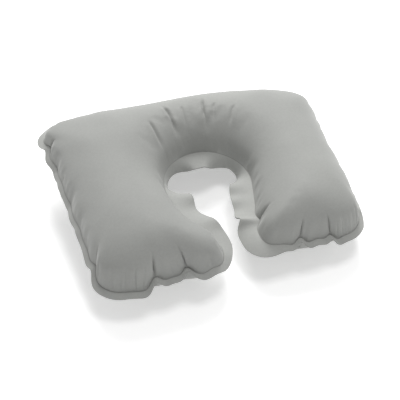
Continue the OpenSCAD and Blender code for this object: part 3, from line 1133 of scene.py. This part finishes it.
def bump(tree, height, strength, distance):
    """A bump node over a grey height, with the distance in metres."""
    node = tree.nodes.new("ShaderNodeBump")
    node.inputs["Strength"].default_value = strength
    node.inputs["Distance"].default_value = distance
    tree.links.new(height, node.inputs["Height"])
    return node


print("helpers for materials ready")

# %% Colour of the flocking
WHITE = (1.0, 1.0, 1.0)
flock, tree, shader = new_material("flocked_vinyl_grey")
place_node = tree.nodes.new("ShaderNodeTexCoord").outputs["Object"]
nap = noise(tree, place_node, 1400, 2.0, 0.6)
grain = noise(tree, place_node, 420, 3.0, 0.6)
brushed = noise(tree, place_node, 26, 3.0, 0.5)
patches = noise(tree, place_node, 7, 2.0, 0.5)
body_colour = ramp(tree, patches, (0.30, (0.385, 0.390, 0.376)),
                   (0.70, (0.420, 0.426, 0.408)))
brushed_tone = ramp(tree, brushed, (0.35, (0.965, 0.965, 0.965)), (0.65, WHITE))
grain_tone = ramp(tree, grain, (0.35, (0.95, 0.95, 0.95)), (0.62, WHITE))
colour = multiply(tree, multiply(tree, body_colour, brushed_tone), grain_tone)
# painted shade and light from the weld mask: the sheets at 0.86, a dark painted
# crease shade of 0.60 just outside the weld, and the flat edge painted lighter at
# full colour
weld_shade_mask = tree.nodes.new("ShaderNodeAttribute")
weld_shade_mask.attribute_name = "pressed"
painted_weld_shade = ramp(tree, weld_shade_mask.outputs["Fac"],
                    (0.0, (0.86, 0.86, 0.86)), (1.0, WHITE))
painted_crease_shade = painted_weld_shade.node.color_ramp.elements.new(0.33)
painted_crease_shade.color = (0.60, 0.60, 0.59, 1)
colour = multiply(tree, colour, painted_weld_shade)
tree.links.new(colour, shader.inputs["Base Color"])
print("the flock's colour has", len(tree.nodes), "nodes")

# %% Surface of the flocking
shader.inputs["Roughness"].default_value = 0.95
shader.inputs["Specular IOR Level"].default_value = 0.15
shader.inputs["Sheen Weight"].default_value = 0.35
shader.inputs["Sheen Roughness"].default_value = 0.45
shader.inputs["Sheen Tint"].default_value = (0.95, 0.96, 0.94, 1)
fibres = bump(tree, nap, 0.15, 0.0002)
waves = bump(tree, brushed, 0.10, 0.0012)
tree.links.new(fibres.outputs["Normal"], waves.inputs["Normal"])
tree.links.new(waves.outputs["Normal"], shader.inputs["Normal"])
for piece in (upper, lower):
    piece.data.materials.clear()
    piece.data.materials.append(flock)
print("flocking on both sheets")

# %% [markdown]
# ## Clear vinyl of the valve
# The valve's collar, boot, stem, flap, strap and stopper keep their CAD
# shapes, because they slide and turn on each other. They are moulded or cut
# from soft clear vinyl, a little cloudy, with faint flow marks and a skin
# that isn't quite even. Full glass would look wet, so only a part of the
# light goes through, less in the thick pieces than in the thin ones.


# %% Valve materials
def clear_vinyl(name, tint, cloud, rough):
    """Milky vinyl of a tint that lets a share of the light through."""
    material, tree, shader = new_material(name)
    where = tree.nodes.new("ShaderNodeTexCoord").outputs["Object"]
    flow = noise(tree, where, 90, 3.0, 0.5)
    haze = noise(tree, where, 700, 2.0, 0.6)
    tone = ramp(tree, flow, (0.3, tuple(0.94 * c for c in tint)), (0.7, tint))
    fog = ramp(tree, haze, (0.35, (0.95, 0.95, 0.95)), (0.65, WHITE))
    tree.links.new(multiply(tree, tone, fog), shader.inputs["Base Color"])
    spread_node = tree.nodes.new("ShaderNodeMapRange")
    spread_node.inputs["To Min"].default_value = rough - 0.06
    spread_node.inputs["To Max"].default_value = rough + 0.08
    tree.links.new(flow, spread_node.inputs["Value"])
    tree.links.new(spread_node.outputs["Result"], shader.inputs["Roughness"])
    shader.inputs["Transmission Weight"].default_value = cloud
    shader.inputs["IOR"].default_value = 1.53
    skin = bump(tree, haze, 0.15, 0.0002)
    tree.links.new(skin.outputs["Normal"], shader.inputs["Normal"])
    return material


VALVE_FINISH = {
    "valve_collar": clear_vinyl("collar_vinyl", (0.80, 0.82, 0.80), 0.30, 0.28),
    "valve_boot": clear_vinyl("boot_vinyl", (0.80, 0.82, 0.80), 0.45, 0.26),
    "valve_stem": clear_vinyl("stem_vinyl", (0.84, 0.86, 0.84), 0.25, 0.24),
    "check_flap": clear_vinyl("flap_vinyl", (0.78, 0.80, 0.79), 0.50, 0.22),
    "stopper_strap": clear_vinyl("strap_vinyl", (0.83, 0.85, 0.83), 0.30, 0.26),
    "stopper": clear_vinyl("stopper_vinyl", (0.84, 0.86, 0.84), 0.25, 0.24),
}
for node, finish in VALVE_FINISH.items():
    for slot in frame["nodes"][node].material_slots:
        slot.material = finish
print("valve finishes:", ", ".join(VALVE_FINISH))

# %% [markdown]
# ## Attach the sheets
# Both sheets ride on the pillow and take the place of their CAD solids.
# The stem, the stopper and the flap move by themselves, because their CAD
# nodes ride already.

# %% Bodies
for piece, node in ((upper, "upper_panel"), (lower, "lower_panel")):
    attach(piece, "pillow")
    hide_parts(node)
